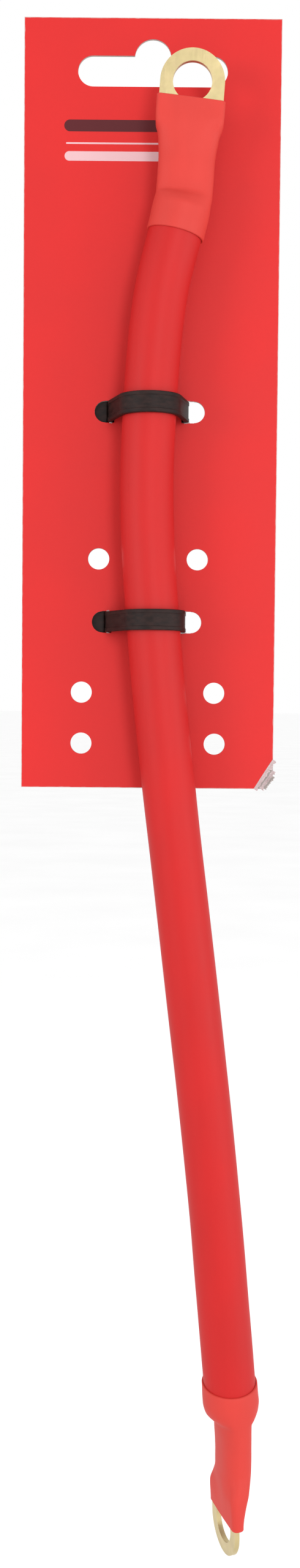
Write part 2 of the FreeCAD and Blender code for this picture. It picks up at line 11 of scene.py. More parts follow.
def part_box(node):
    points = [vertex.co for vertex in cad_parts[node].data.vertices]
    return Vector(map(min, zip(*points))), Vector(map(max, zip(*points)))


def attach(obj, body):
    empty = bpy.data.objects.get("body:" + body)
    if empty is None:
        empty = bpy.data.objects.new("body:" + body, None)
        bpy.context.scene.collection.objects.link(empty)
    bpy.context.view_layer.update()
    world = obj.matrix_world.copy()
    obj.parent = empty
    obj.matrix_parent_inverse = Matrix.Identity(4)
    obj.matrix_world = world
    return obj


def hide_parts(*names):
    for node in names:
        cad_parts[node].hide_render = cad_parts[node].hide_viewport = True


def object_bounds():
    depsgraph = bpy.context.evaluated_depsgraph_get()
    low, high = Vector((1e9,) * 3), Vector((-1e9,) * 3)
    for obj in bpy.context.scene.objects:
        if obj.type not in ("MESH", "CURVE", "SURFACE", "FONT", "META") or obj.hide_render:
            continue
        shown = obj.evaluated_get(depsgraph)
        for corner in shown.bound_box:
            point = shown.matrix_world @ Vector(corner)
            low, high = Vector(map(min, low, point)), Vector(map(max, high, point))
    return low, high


bl_info = {
    "name": "Carded Battery Lead",
    "version": (1, 0, 0),
    "blender": (4, 5, 0),
    "location": "View3D > Sidebar > Battery Lead",
    "description": "Builds a red battery lead, its terminals, sleeves and ties, and its hanging card",
    "category": "Object",
}

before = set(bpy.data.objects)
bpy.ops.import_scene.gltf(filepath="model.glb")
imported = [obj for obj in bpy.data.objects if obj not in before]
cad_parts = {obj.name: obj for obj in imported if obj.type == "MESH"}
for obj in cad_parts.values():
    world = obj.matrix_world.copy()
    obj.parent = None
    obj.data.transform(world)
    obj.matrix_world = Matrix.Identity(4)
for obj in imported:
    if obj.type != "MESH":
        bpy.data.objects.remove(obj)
CAD_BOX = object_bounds()

MM = 0.001
BODY = "root"
END_NAMES = ("upper", "lower")


def linear(hex_colour):
    """An sRGB hex colour as linear red, green and blue."""
    channels = (int(hex_colour[i : i + 2], 16) / 255 for i in (0, 2, 4))
    return tuple(c / 12.92 if c <= 0.04045 else ((c + 0.055) / 1.055) ** 2.4 for c in channels)


# ---------------------------------------------------------------- sizes and colours


def length(name, description, default):
    """A size property in millimetres."""
    return FloatProperty(name=name, description=description, default=default, min=0.0)


def colour(name, description, hex_colour):
    """A colour property from its sRGB hex value."""
    return FloatVectorProperty(
        name=name, description=description, subtype="COLOR", min=0.0, max=1.0, default=linear(hex_colour)
    )


class LeadSizes(bpy.types.PropertyGroup):
    """Sizes of the finished pieces, in millimetres."""

    jacket_radius: length("Jacket radius", "Outside radius of the cable's covering", 5.7)
    bore_radius: length("Bore radius", "Radius of the hollow that holds the strands", 3.32)
    sleeve_wall: length("Sleeve wall", "Thickness of the soft sleeves", 0.38)
    strap_width: length("Strap width", "Width of a cable tie's strap", 4.4)
    strap_thickness: length("Strap thickness", "Thickness of a cable tie's strap", 1.1)
    edge_radius: length("Terminal edge", "Rounding on the terminals' pressed edges", 0.35)


class LeadColours(bpy.types.PropertyGroup):
    """Colours of the finished surfaces."""

    card: colour("Card print", "Solid ink on the card's printed face", "BD1B1A")
    dark_ink: colour("Dark ink", "Dark print on the card", "4A0A12")
    pale_ink: colour("Pale ink", "Pale print on the card", "C7A0A4")
    board: colour("Board", "Grey board inside the card", "A09692")
    liner: colour("Back liner", "Bare paper on the card's back", "C2BDB3")
    jacket: colour("Jacket", "PVC covering of the cable", "AF1211")
    sleeve: colour("Sleeve", "Softer PVC of the sleeves", "BC332B")
    brass: colour("Brass", "Lightly passivated brass terminals", "C4B087")
    nylon: colour("Nylon", "Black cable ties", "1C100E")
    copper: colour("Copper", "Bare copper strands", "B86A42")


# ---------------------------------------------------------------- materials

# Tints that aren't the user's to choose: rubbed cut edges, torn paper, and the brass's film.
RUBBED_TINT = linear("B48C88")
TORN_TINT = linear("B7A6A6")
FILM_TINT = linear("C8C282")


def add(tree, kind, links=None, **settings):
    """Add a node with its settings, its constant inputs and its links."""
    made = tree.nodes.new(kind)
    for key, value in settings.items():
        setattr(made, key, value)
    for socket, source in (links or {}).items():
        if isinstance(source, bpy.types.NodeSocket):
            tree.links.new(source, made.inputs[socket])
        else:
            made.inputs[socket].default_value = source
    return made


def start_material(name):
    """A new node material's tree and its Object coordinates."""
    material = bpy.data.materials.new(name)
    material.use_nodes = True
    tree = material.node_tree
    tree.nodes.clear()
    place = add(tree, "ShaderNodeTexCoord").outputs["Object"]
    return material, tree, place


def end_material(tree, shader):
    """Join the finished shader to the material's output."""
    add(tree, "ShaderNodeOutputMaterial", {"Surface": shader.outputs[0]})


def shade(rgb, factor):
    """A colour made darker or lighter, as a node's four values."""
    return (*(min(1.0, c * factor) for c in rgb), 1.0)


def grain(tree, place, size_mm, detail=3.0, stretch=(1, 1, 1)):
    """Noise with lumps of a size in millimetres, stretched along each axis."""
    scaled = add(tree, "ShaderNodeMapping", {"Vector": place, "Scale": stretch})
    links = {"Vector": scaled.outputs[0], "Scale": 1 / (size_mm * MM), "Detail": detail}
    return add(tree, "ShaderNodeTexNoise", links).outputs["Fac"]


def blend_colours(tree, factor, low, high, start=0.3, stop=0.7):
    """Run between two colours as a pattern goes from low to high."""
    ramp = add(tree, "ShaderNodeValToRGB", {"Fac": factor})
    ramp.color_ramp.elements[0].position = start
    ramp.color_ramp.elements[0].color = low
    ramp.color_ramp.elements[1].position = stop
    ramp.color_ramp.elements[1].color = high
    return ramp.outputs["Color"]


def spread_values(tree, factor, low, high):
    """Map a 0 to 1 pattern to a range of numbers."""
    return add(tree, "ShaderNodeMapRange", {"Value": factor, "To Min": low, "To Max": high}).outputs[0]


def relief(tree, height, depth_mm, below=None):
    """Turn a pattern into surface relief of a depth in millimetres."""
    links = {"Height": height, "Distance": depth_mm * MM, "Strength": 1.0}
    if below is not None:
        links["Normal"] = below
    return add(tree, "ShaderNodeBump", links).outputs[0]


def mix_colours(tree, factor, under, over):
    """Lay a colour over another, as far as a factor says."""
    links = {"Factor": factor, "A": under, "B": over}
    return add(tree, "ShaderNodeMix", links, data_type="RGBA").outputs["Result"]


def sums(tree, kind, operation, *values):
    """One step of arithmetic, on numbers (Math) or on vectors (VectorMath)."""
    made = add(tree, f"ShaderNode{kind}", dict(enumerate(values)), operation=operation)
    return made.outputs["Value" if operation == "LENGTH" else 0]


# Plain printed bars that stand where a retail card has its lettering, in millimetres:
# left, right, middle height and bar height.
DARK_BAR = (-18.9, 3.0, -14.3, 2.5)
PALE_BARS = ((-18.5, 3.0, -18.0, 0.35), (-18.8, 3.0, -20.7, 2.0))


def bar_mask(tree, place, left, right, middle, high):
    """One inside a printed bar with round ends, nought outside it."""
    reach = (right - left - high) / 2
    centre = ((left + right) / 2 * MM, 0, middle * MM)
    mirrored = sums(tree, "VectorMath", "ABSOLUTE", sums(tree, "VectorMath", "SUBTRACT", place, centre))
    flattened = sums(tree, "VectorMath", "MULTIPLY", mirrored, (1, 0, 1))
    past = sums(tree, "VectorMath", "SUBTRACT", flattened, (reach * MM, 0, 0))
    away = sums(tree, "VectorMath", "LENGTH", sums(tree, "VectorMath", "MAXIMUM", past, (0, 0, 0)))
    return sums(tree, "Math", "LESS_THAN", away, high / 2 * MM)


# How far the ink is rubbed off at the card's cut edges, and how long the wear's lumps are.
WEAR_REACH = 0.24 * MM
WEAR_LUMP_MM = 1.6


def edge_wear(tree, place):
    """One where the ink has rubbed off at the card's cut edges, nought elsewhere."""
    parts = add(tree, "ShaderNodeSeparateXYZ", {0: place})
    low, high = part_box("card_front_liner")
    to_side = sums(tree, "Math", "SUBTRACT", high.x, sums(tree, "Math", "ABSOLUTE", parts.outputs["X"]))
    to_top = sums(tree, "Math", "SUBTRACT", high.z, parts.outputs["Z"])
    to_foot = sums(tree, "Math", "SUBTRACT", parts.outputs["Z"], low.z)
    ends = sums(tree, "Math", "MINIMUM", to_top, to_foot)
    near = sums(tree, "Math", "MINIMUM", ends, to_side)
    ragged = spread_values(tree, grain(tree, place, WEAR_LUMP_MM, 4), 0.0, WEAR_REACH)
    return sums(tree, "Math", "LESS_THAN", near, ragged)


def printed_board(rgb, dark, pale):
    """Coated board, offset printed: flat solid ink, satin, with plain bars and pale rubbed edges."""
    material, tree, place = start_material("offset_printed_board")
    clouds = grain(tree, place, 22, 2)
    speckle = grain(tree, place, 0.55, 2)
    ink = blend_colours(tree, clouds, shade(rgb, 0.95), shade(rgb, 1.04))
    layers = [(spread_values(tree, speckle, 0.0, 0.3), shade(rgb, 0.85))]
    layers.append((bar_mask(tree, place, *DARK_BAR), shade(dark, 1.0)))
    layers += [(bar_mask(tree, place, *bar), shade(pale, 1.0)) for bar in PALE_BARS]
    layers.append((edge_wear(tree, place), shade(RUBBED_TINT, 1.0)))
    for mask, over in layers:
        ink = mix_colours(tree, mask, ink, over)
    fibre = grain(tree, place, 0.8, 4, (1, 1, 0.6))
    links = {
        "Base Color": ink,
        "Roughness": spread_values(tree, clouds, 0.5, 0.62),
        "IOR": 1.5,
        "Specular IOR Level": 0.27,
        "Normal": relief(tree, fibre, 0.012),
    }
    end_material(tree, add(tree, "ShaderNodeBsdfPrincipled", links))
    return material


def bare_board(name, rgb, fibre_mm, contrast):
    """Uncoated pulp board: matt, with matted fibres that lie mostly flat."""
    material, tree, place = start_material(name)
    matted = grain(tree, place, fibre_mm, 6, (1, 3, 1.6))
    flecks = grain(tree, place, fibre_mm * 4, 2)
    base = blend_colours(tree, matted, shade(rgb, 1 - contrast), shade(rgb, 1 + contrast))
    links = {
        "Base Color": mix_colours(tree, spread_values(tree, flecks, 0.0, 0.3), base, shade(rgb, 0.8)),
        "Roughness": 0.92,
        "Specular IOR Level": 0.2,
        "Normal": relief(tree, matted, 0.05),
    }
    end_material(tree, add(tree, "ShaderNodeBsdfPrincipled", links))
    return material


def plasticised_pvc(name, rgb, streak_mm, gloss, mottle):
    """Soft PVC: satin, faintly mottled, with fine lines along the way it was extruded."""
    material, tree, place = start_material(name)
    streaks = grain(tree, place, streak_mm, 3, (1, 1, 0.06))
    patches = grain(tree, place, 9, 3, (1, 1, 0.5))
    orange_peel = grain(tree, place, 0.7, 2)
    base = blend_colours(tree, patches, shade(rgb, 1 - mottle), shade(rgb, 1 + mottle))
    lines = relief(tree, streaks, 0.02)
    links = {
        "Base Color": mix_colours(tree, spread_values(tree, streaks, 0.0, 0.3), base, shade(rgb, 0.88)),
        "Roughness": spread_values(tree, patches, gloss - 0.05, gloss + 0.08),
        "IOR": 1.53,
        "Specular IOR Level": 0.25,
        "Normal": relief(tree, orange_peel, 0.01, lines),
    }
    end_material(tree, add(tree, "ShaderNodeBsdfPrincipled", links))
    return material


def passivated_brass(rgb):
    """Pressed brass strip, passivated pale yellow: soft shine, rolling lines, faint tints."""
    material, tree, place = start_material("pressed_passivated_brass")
    tints = grain(tree, place, 3.5, 3)
    rolling = grain(tree, place, 0.25, 3, (1, 1, 0.05))
    dents = grain(tree, place, 1.4, 2)
    base = blend_colours(tree, tints, shade(rgb, 0.86), shade(rgb, 1.08))
    film = spread_values(tree, dents, 0.0, 0.35)
    links = {
        "Base Color": mix_colours(tree, film, base, shade(FILM_TINT, 1.0)),
        "Metallic": 1.0,
        "Roughness": spread_values(tree, rolling, 0.28, 0.46),
        "Normal": relief(tree, dents, 0.02, relief(tree, rolling, 0.006)),
    }
    end_material(tree, add(tree, "ShaderNodeBsdfPrincipled", links))
    return material


def drawn_copper(rgb):
    """Drawn copper wire: bright, with fine die lines along its length."""
    material, tree, place = start_material("drawn_copper")
    die_lines = grain(tree, place, 0.15, 2, (1, 1, 0.03))
    dull = grain(tree, place, 5, 2)
    links = {
        "Base Color": blend_colours(tree, dull, shade(rgb, 0.8), shade(rgb, 1.1)),
        "Metallic": 1.0,
        "Roughness": spread_values(tree, die_lines, 0.22, 0.4),
        "Normal": relief(tree, die_lines, 0.004),
    }
    end_material(tree, add(tree, "ShaderNodeBsdfPrincipled", links))
    return material


def moulded_nylon(rgb):
    """Moulded nylon 66: near black, satin, with the tool's fine texture and a few scuffs."""
    material, tree, place = start_material("moulded_nylon")
    texture = grain(tree, place, 0.3, 3)
    scuffs = grain(tree, place, 1.8, 4, (1, 1, 2.5))
    links = {
        "Base Color": blend_colours(tree, scuffs, shade(rgb, 0.75), shade(rgb, 2.2), 0.35, 0.8),
        "Roughness": spread_values(tree, scuffs, 0.45, 0.65),
        "IOR": 1.53,
        "Specular IOR Level": 0.15,
        "Normal": relief(tree, texture, 0.01),
    }
    end_material(tree, add(tree, "ShaderNodeBsdfPrincipled", links))
    return material


def studio_floor():
    """Matt white paper sweep."""
    material, tree, place = start_material("matt_white_sweep")
    cloud = grain(tree, place, 120, 2)
    white = blend_colours(tree, cloud, (0.95, 0.95, 0.95, 1), (0.98, 0.98, 0.98, 1))
    links = {"Base Color": white, "Roughness": 0.95, "Specular IOR Level": 0.1}
    end_material(tree, add(tree, "ShaderNodeBsdfPrincipled", links))
    return material


MATERIALS = {}


def make_materials():
    """Make each finish once, in the user's colours."""
    c = bpy.context.scene.lead_colours
    MATERIALS.update(
        printed=printed_board(c.card, c.dark_ink, c.pale_ink),
        board=bare_board("grey_pulp_board", c.board, 0.35, 0.16),
        liner=bare_board("uncoated_white_liner", c.liner, 0.5, 0.05),
        torn=bare_board("torn_white_fibre", TORN_TINT, 0.3, 0.2),
        jacket=plasticised_pvc("extruded_pvc_jacket", c.jacket, 0.8, 0.55, 0.05),
        sleeve=plasticised_pvc("soft_pvc_sleeve", c.sleeve, 1.2, 0.58, 0.06),
        brass=passivated_brass(c.brass),
        copper=drawn_copper(c.copper),
        nylon=moulded_nylon(c.nylon),
    )


# ---------------------------------------------------------------- the lead's frame

# How far the lead's own plane stands in front of the card, and how far it tilts from it.
LEAD_STANDOFF = 7.1 * MM
LEAD_TILT = math.radians(0.33)
LEAD = Matrix.Translation((0, -LEAD_STANDOFF, 0)) @ Matrix.Rotation(LEAD_TILT, 4, "X")

# The jacket's route from its upper end to its lower one: x and z in its own plane, in metres.
ROUTE = (
    (0.00618, -0.03354),
    (0.00495, -0.0390),
    (0.0019, -0.0505),
    (0.0002, -0.0680),
    (-0.0009, -0.0940),
    (0.0010, -0.1220),
    (0.0043, -0.1530),
    (0.0092, -0.1920),
    (0.0146, -0.2370),
    (0.0176, -0.2680),
    (0.01982, -0.29221),
)

# Where the strands end, past the jacket, and each terminal begins.
UPPER_STRAND_END = (0.00675, -0.0310)
LOWER_STRAND_END = (0.02006, -0.2948)

# How far each terminal leans sideways from the upright, and where its palm's outer face looks.
UPPER_LEAN = math.radians(3.8)
UPPER_FACING = Vector((0, -1, 0))
LOWER_LEAN = math.radians(2.1)
LOWER_FACING = Vector((-0.945, -0.326, 0))

# Half the length over which a sleeve turns from the cable's line to its terminal's.
BEND_HALF = 2 * MM


class LeadEnd:
    """One end of the lead: where its strands end, its terminal's axis and its palm's outer face."""

    def __init__(self, last, before, lean, facing):
        self.point = LEAD @ Vector((last[0], 0, last[1]))
        out = Vector((last[0] - before[0], 0, last[1] - before[1])).normalized()
        axis = Vector((math.sin(lean), 0, math.copysign(math.cos(lean), out.z)))
        turn = LEAD.to_3x3()
        self.out, self.axis, self.facing = turn @ out, turn @ axis, turn @ facing

    def station(self, along):
        """Centre, direction, across and outward vectors at a distance past the strands' end."""
        bend = smooth_step((along + BEND_HALF) / (2 * BEND_HALF))
        way = self.out.lerp(self.axis, bend).normalized()
        centre = self.point + (self.out if along < 0 else self.axis) * along
        facing = (self.facing - way * self.facing.dot(way)).normalized()
        return centre, way, facing.cross(way), facing


def smooth_step(t):
    """Ease from 0 to 1 with level ends."""
    t = min(1.0, max(0.0, t))
    return t * t * (3 - 2 * t)


ENDS = {
    "upper": LeadEnd(UPPER_STRAND_END, ROUTE[1], UPPER_LEAN, UPPER_FACING),
    "lower": LeadEnd(LOWER_STRAND_END, ROUTE[-2], LOWER_LEAN, LOWER_FACING),
}


# ---------------------------------------------------------------- mesh helpers


def sweep(rings, closed):
    """A skin through rings of points. It joins its last ring to its first, or its ends are capped."""
    bm = bmesh.new()
    count = len(rings[0])
    loop = bmesh.ops.create_circle(bm, cap_ends=False, segments=count, radius=1.0)["verts"]
    order = {v: i for i, v in enumerate(loop)}
    for v, i in order.items():
        v.co = rings[0][i]
    edges = first_edges = list(bm.edges)
    for ring in rings[1:]:
        grown = bmesh.ops.extrude_edge_only(bm, edges=edges)["geom"]
        new = {g for g in grown if isinstance(g, bmesh.types.BMVert)}
        edges = [
            g for g in grown if isinstance(g, bmesh.types.BMEdge) and g.verts[0] in new and g.verts[1] in new
        ]
        following = {}
        for v in new:
            for e in v.link_edges:
                other = e.other_vert(v)
                if other in order:
                    following[v] = order[other]
        for v, i in following.items():
            v.co = ring[i]
        order = following
    if closed:
        bmesh.ops.bridge_loops(bm, edges=first_edges + edges)
    else:
        bmesh.ops.edgeloop_fill(bm, edges=first_edges)
        bmesh.ops.edgeloop_fill(bm, edges=edges)
    bmesh.ops.recalc_face_normals(bm, faces=bm.faces)
    return bm


def finish_piece(bm, name, material, smooth_deg=40.0):
    """Make a bmesh a finished piece that rides on the object's one body."""
    mesh = bpy.data.meshes.new(name)
    bm.to_mesh(mesh)
    bm.free()
    piece = bpy.data.objects.new(name, mesh)
    bpy.context.scene.collection.objects.link(piece)
    mesh.materials.append(material)
    mesh.shade_smooth()
    mesh.set_sharp_from_angle(angle=math.radians(smooth_deg))
    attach(piece, BODY)
    return piece


def round_edges(piece, width_mm, segments, angle_deg=35.0):
    """Round a piece's sharp edges with a bevel modifier."""
    bevel = piece.modifiers.new("rounded edges", "BEVEL")
    bevel.width = width_mm * MM
    bevel.segments = segments
    bevel.limit_method = "ANGLE"
    bevel.angle_limit = math.radians(angle_deg)
    bevel.harden_normals = True


# ---------------------------------------------------------------- the cable

CABLE_SIDES = 48
SWELL = 0.06 * MM
SWELL_LENGTH = 14 * MM
END_CHAMFER = 0.4 * MM


def cable_centreline():
    """Points along the smooth line that the cable follows."""
    curve = bpy.data.curves.new("lead_route", "CURVE")
    curve.dimensions = "3D"
    spline = curve.splines.new("NURBS")
    spline.points.add(len(ROUTE) - 1)
    for point, (x, z) in zip(spline.points, ROUTE):
        point.co = (*(LEAD @ Vector((x, 0, z))), 1)
    spline.order_u = 3
    spline.use_endpoint_u = True
    spline.resolution_u = 14
    holder = bpy.data.objects.new("lead_route", curve)
    mesh = bpy.data.meshes.new_from_object(holder)
    points = [v.co.copy() for v in mesh.vertices]
    bpy.data.objects.remove(holder)
    bpy.data.curves.remove(curve)
    bpy.data.meshes.remove(mesh)
    return points


def frames_along(points):
    """A centre and two crossing normals at each point of a line in the lead's plane."""
    forward = LEAD.to_3x3() @ Vector((0, -1, 0))
    made = []
    for i, point in enumerate(points):
        way = (points[min(i + 1, len(points) - 1)] - points[max(i - 1, 0)]).normalized()
        made.append((point, way.cross(forward).normalized(), forward))
    return made


def circle_ring(place, radius, sides, swell=0.0):
    """A ring of points round a centre, with a slow unevenness as deep as swell."""
    centre, across, forward = place
    ring = []
    for i in range(sides):
        angle = 2 * math.pi * i / sides
        spoke = across * math.cos(angle) + forward * math.sin(angle)
        lump = noise.noise((centre + spoke * radius) / SWELL_LENGTH) * swell
        ring.append(centre + spoke * (radius + lump))
    return ring


class LEAD_OT_cable(bpy.types.Operator):
    """Make the PVC jacket as a hollow tube, and finish the copper inside it"""

    bl_idname = "lead.cable"
    bl_label = "Cable"

    def execute(self, context):
        sizes = context.scene.lead_sizes
        points = cable_centreline()
        places = frames_along(points)
        outer = [circle_ring(p, sizes.jacket_radius * MM, CABLE_SIDES, SWELL) for p in places]
        for i in (0, -1):
            outer[i] = circle_ring(places[i], sizes.jacket_radius * MM - END_CHAMFER, CABLE_SIDES)
        inner = [circle_ring(p, sizes.bore_radius * MM, CABLE_SIDES) for p in reversed(places)]
        cable = finish_piece(sweep(outer + inner, True), "cable", MATERIALS["jacket"])
        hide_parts("cable_jacket")
        line = sum((b - a).length for a, b in zip(points, points[1:]))
        context.scene["lead_line_length"] = line
        context.scene["lead_line"] = [list(p) for p in points]
        for name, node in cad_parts.items():
            if name.startswith(("strand_", "conductor_end_")):
                dress(node, MATERIALS["copper"])
        return {"FINISHED"}


def dress(node, material):
    """Give a CAD node its finish."""
    for place in node.material_slots:
        place.material = material


# ---------------------------------------------------------------- sleeves

SLEEVE_SIDES = 96
SLEEVE_STEPS = 60

# How much a lip's edge is rounded, outside and inside, in millimetres.
LIP = 0.12
INNER_LIP = 0.04

# Inner outlines along each sleeve, in millimetres: distance past the strands' end,
# half width, half height, how far forward, and corner radius.
SLEEVE_SHAPES = {
    "upper": (
        (-8.3, 5.7, 5.7, 0.0, 5.68),
        (-7.2, 5.73, 5.73, 0.0, 5.71),
        (-2.9, 5.74, 5.74, 0.0, 5.72),
        (-1.2, 5.65, 4.6, 0.0, 4.5),
        (0.6, 5.6, 2.95, 0.0, 2.9),
        (7.0, 5.6, 2.88, 0.0, 2.84),
        (12.0, 6.1, 2.5, 0.4, 1.9),
        (14.2, 6.72, 1.9, 1.0, 0.9),
        (16.4, 6.82, 1.3, 1.57, 0.6),
        (19.4, 6.83, 0.65, 2.22, 0.45),
    ),
    "lower": (
        (-8.7, 5.7, 5.7, 0.0, 5.68),
        (-7.0, 5.73, 5.73, 0.0, 5.71),
        (-4.4, 5.73, 5.73, 0.0, 5.71),
        (-2.6, 5.55, 5.4, 0.0, 5.3),
        (-1.0, 5.45, 4.2, 0.0, 4.1),
        (0.1, 5.42, 2.95, 0.0, 2.9),
        (6.5, 5.42, 2.83, 0.0, 2.8),
        (10.4, 5.5, 2.65, 0.2, 2.45),
        (13.2, 6.35, 2.2, 0.7, 1.7),
        (16.0, 6.83, 1.5, 1.4, 0.9),
        (21.0, 6.85, 0.95, 1.9, 0.7),
    ),
}

# How far each end is cut aslant, over the palm and on the cable, and how deep the dents are.
MOUTH_SLANT = {"upper": 0.35, "lower": 0.65}
LIP_SLANT = {"upper": 0.0, "lower": 1.4}
SLANT_EASE = 6.0
DENTS = {"upper": 0.12, "lower": 0.15}
DENT_LENGTH = 4.5

# Moves the dents' pattern along by this many times a sleeve's start, so that the two differ.
DENT_SHIFT = 7

# How far in from its cable end and from its mouth a sleeve is too tight to dent fully.
TIGHT_START, TIGHT_MOUTH = 3, 4

# How much the soft wall crowns over a flat side, as a share of the sleeve's half height.
CROWN = 0.1

# Half heights in millimetres: a sleeve's outline is a rounded rectangle up to the first, over
# the thin palm, and an oval from the second. The oval's exponent grows from a circle's 2 as
# the sides get flatter.
OVAL_FROM, OVAL_FULL = 1.6, 2.6
SQUARENESS = 1.25


def outline_spot(turn, half_width, half_height, corner):
    """A point on a rounded rectangle, a share of the way round it, and the way out of it."""
    side, bend, top = half_height - corner, math.pi / 2 * corner, half_width - corner
    quarter, share = divmod(turn * 4, 1)
    run = (1 - share if quarter % 2 else share) * (side + bend + top)
    if run < side:
        x, y, angle = half_width, run, 0.0
    elif run < side + bend:
        angle = (run - side) / corner
        x, y = top + corner * math.cos(angle), side + corner * math.sin(angle)
    else:
        x, y, angle = top - (run - side - bend), half_height, math.pi / 2
    right = 1 if quarter in (0, 3) else -1
    up = 1 if quarter in (0, 1) else -1
    return right * x, up * y, right * math.cos(angle), up * math.sin(angle)


def oval_spot(turn, half_width, half_height, exponent):
    """A point on a smooth oval, a share of the way round it."""
    angle = 2 * math.pi * turn
    across, up = math.cos(angle), math.sin(angle)
    share = 2 / exponent
    return (
        math.copysign(abs(across) ** share, across) * half_width,
        math.copysign(abs(up) ** share, up) * half_height,
    )


def size_at(stations, column, along):
    """One of a sleeve's sizes at a distance, on a smooth curve that doesn't overshoot."""
    pairs = list(zip(stations, stations[1:]))
    steps = [(b[column] - a[column]) / (b[0] - a[0]) for a, b in pairs]
    tilts = [0.0] + [0.0 if p * q <= 0 else 2 * p * q / (p + q) for p, q in zip(steps, steps[1:])] + [0.0]
    index = max(i for i, (a, _) in enumerate(pairs) if i == 0 or along >= a[0])
    (a, b), width = pairs[index], pairs[index][1][0] - pairs[index][0][0]
    t = min(1.0, max(0.0, (along - a[0]) / width))
    rise = smooth_step(t)
    bulge = width * (tilts[index] * t * (1 - t) ** 2 - tilts[index + 1] * t * t * (1 - t))
    return a[column] + (b[column] - a[column]) * rise + bulge


def sleeve_ring(end, side, along, grow):
    """One ring of a sleeve, grown from its inner outline."""
    stations = SLEEVE_SHAPES[side]
    half_width, half_height, forward, corner = (size_at(stations, c, along) for c in range(1, 5))
    start, stop = stations[0][0], stations[-1][0]
    slant = MOUTH_SLANT[side] * smooth_step((along - stop + SLANT_EASE) / SLANT_EASE)
    slant += LIP_SLANT[side] * smooth_step((start + SLANT_EASE - along) / SLANT_EASE)
    flat = (half_width - corner) / half_width
    oval = smooth_step((half_height - OVAL_FROM) / (OVAL_FULL - OVAL_FROM))
    loose = smooth_step((along - start) / TIGHT_START) * smooth_step((stop - along) / TIGHT_MOUTH)
    centre, way, across, facing = end.station(along * MM)
    ring = []
    for i in range(SLEEVE_SIDES):
        sizes = (half_width + grow, half_height + grow, corner + grow)
        a, b, out_a, out_b = outline_spot(i / SLEEVE_SIDES, *sizes)
        oval_a, oval_b = oval_spot(i / SLEEVE_SIDES, *sizes[:2], 2 + SQUARENESS * flat)
        a, b = a + (oval_a - a) * oval, b + (oval_b - b) * oval
        b *= 1 + CROWN * flat * (1 - (a / (half_width + grow)) ** 2)
        dent = noise.noise(Vector((a, b, along + DENT_SHIFT * start)) / DENT_LENGTH) * DENTS[side] * loose
        a, b = a + out_a * dent, b + out_b * dent + forward
        ring.append(centre + (across * a + facing * b + way * slant * a / half_width) * MM)
    return ring


def sleeve_rings(end, side, wall):
    """Rings along the outside, round the mouth's lip, back inside and round the other lip."""
    start, stop = SLEEVE_SHAPES[side][0][0], SLEEVE_SHAPES[side][-1][0]
    run = stop - start - 2 * LIP
    spots = [start + LIP + run * i / SLEEVE_STEPS for i in range(SLEEVE_STEPS + 1)]
    rings = [sleeve_ring(end, side, s, wall) for s in spots]
    rings += [sleeve_ring(end, side, stop, wall - LIP), sleeve_ring(end, side, stop, INNER_LIP)]
    rings += [sleeve_ring(end, side, s, 0.0) for s in reversed(spots)]
    rings += [sleeve_ring(end, side, start, INNER_LIP), sleeve_ring(end, side, start, wall - LIP)]
    return rings


class LEAD_OT_sleeves(bpy.types.Operator):
    """Make the soft sleeves, round on the cable and flattened over the terminals"""

    bl_idname = "lead.sleeves"
    bl_label = "Sleeves"

    def execute(self, context):
        wall = context.scene.lead_sizes.sleeve_wall
        for side, end in ENDS.items():
            bm = sweep(sleeve_rings(end, side, wall), True)
            sleeve = finish_piece(bm, f"soft_sleeve_{side}", MATERIALS["sleeve"])
            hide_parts(f"sleeve_{side}")
        return {"FINISHED"}


# ---------------------------------------------------------------- terminals

# Points this close are joined, and faces this nearly level become one.
WELD_GAP = 0.002 * MM
FLAT_ANGLE = math.radians(1.5)


class LEAD_OT_terminals(bpy.types.Operator):
    """Make the pressed brass eye terminals, with their edges rounded"""

    bl_idname = "lead.terminals"
    bl_label = "Terminals"

    def execute(self, context):
        edge = context.scene.lead_sizes.edge_radius
        for side in END_NAMES:
            bm = bmesh.new()
            bm.from_mesh(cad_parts[f"terminal_{side}"].data)
            bmesh.ops.remove_doubles(bm, verts=bm.verts, dist=WELD_GAP)
            bmesh.ops.dissolve_limit(bm, angle_limit=FLAT_ANGLE, verts=bm.verts, edges=bm.edges)
            bmesh.ops.recalc_face_normals(bm, faces=bm.faces)
            name = f"eye_terminal_{side}"
            terminal = finish_piece(bm, name, MATERIALS["brass"])
            round_edges(terminal, edge, 3)
            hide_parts(f"terminal_{side}")
        return {"FINISHED"}


# ---------------------------------------------------------------- cable ties

# A tie's left and right holes in the card and its height, in millimetres.
TIE_ROWS = {"cable_tie_upper": (-9.7, 9.5, -74.8), "cable_tie_lower": (-10.0, 9.2, -120.0)}
PUNCH_RADIUS = 2.3 * MM

# The strap's section.
TOOTH_PITCH = 0.9 * MM
TOOTH_DEPTH = 0.16 * MM
CHANNEL_DEPTH = 0.12 * MM
RAIL_WIDTH = 0.75 * MM
STRAP_EDGE = 0.16 * MM

# The strap's way round: its gaps to the cable and the right hole's edge, its bends, how far
# the left bend's centre is in front of the card, how far right of the left hole's centre the
# tail runs, and how far the tail's stub stands out of the head.
STRAP_GAP = 0.12 * MM
PUNCH_GAP = 0.15 * MM
BACK_BEND = 1.3 * MM
LEFT_BEND = 2.0 * MM
LEFT_BEND_LIFT = 0.5 * MM
TAIL_OFFSET = 1.1 * MM
STUB = 1.0 * MM

# The head: its length, depth and width, how its length and width taper away from the card,
# where it lies, its rim and rounded edges, and how far the strap's start is set inside it.
HEAD_SIZE = (6.6 * MM, 5.0 * MM, 7.0 * MM)
HEAD_TAPER = (0.9, 0.93)
HEAD_PAST_TAIL = 2.8 * MM
HEAD_OFF_CARD = 0.1 * MM
HEAD_RIM = 0.3 * MM
HEAD_EDGE = 0.7 * MM
STRAP_IN_HEAD = 0.6 * MM

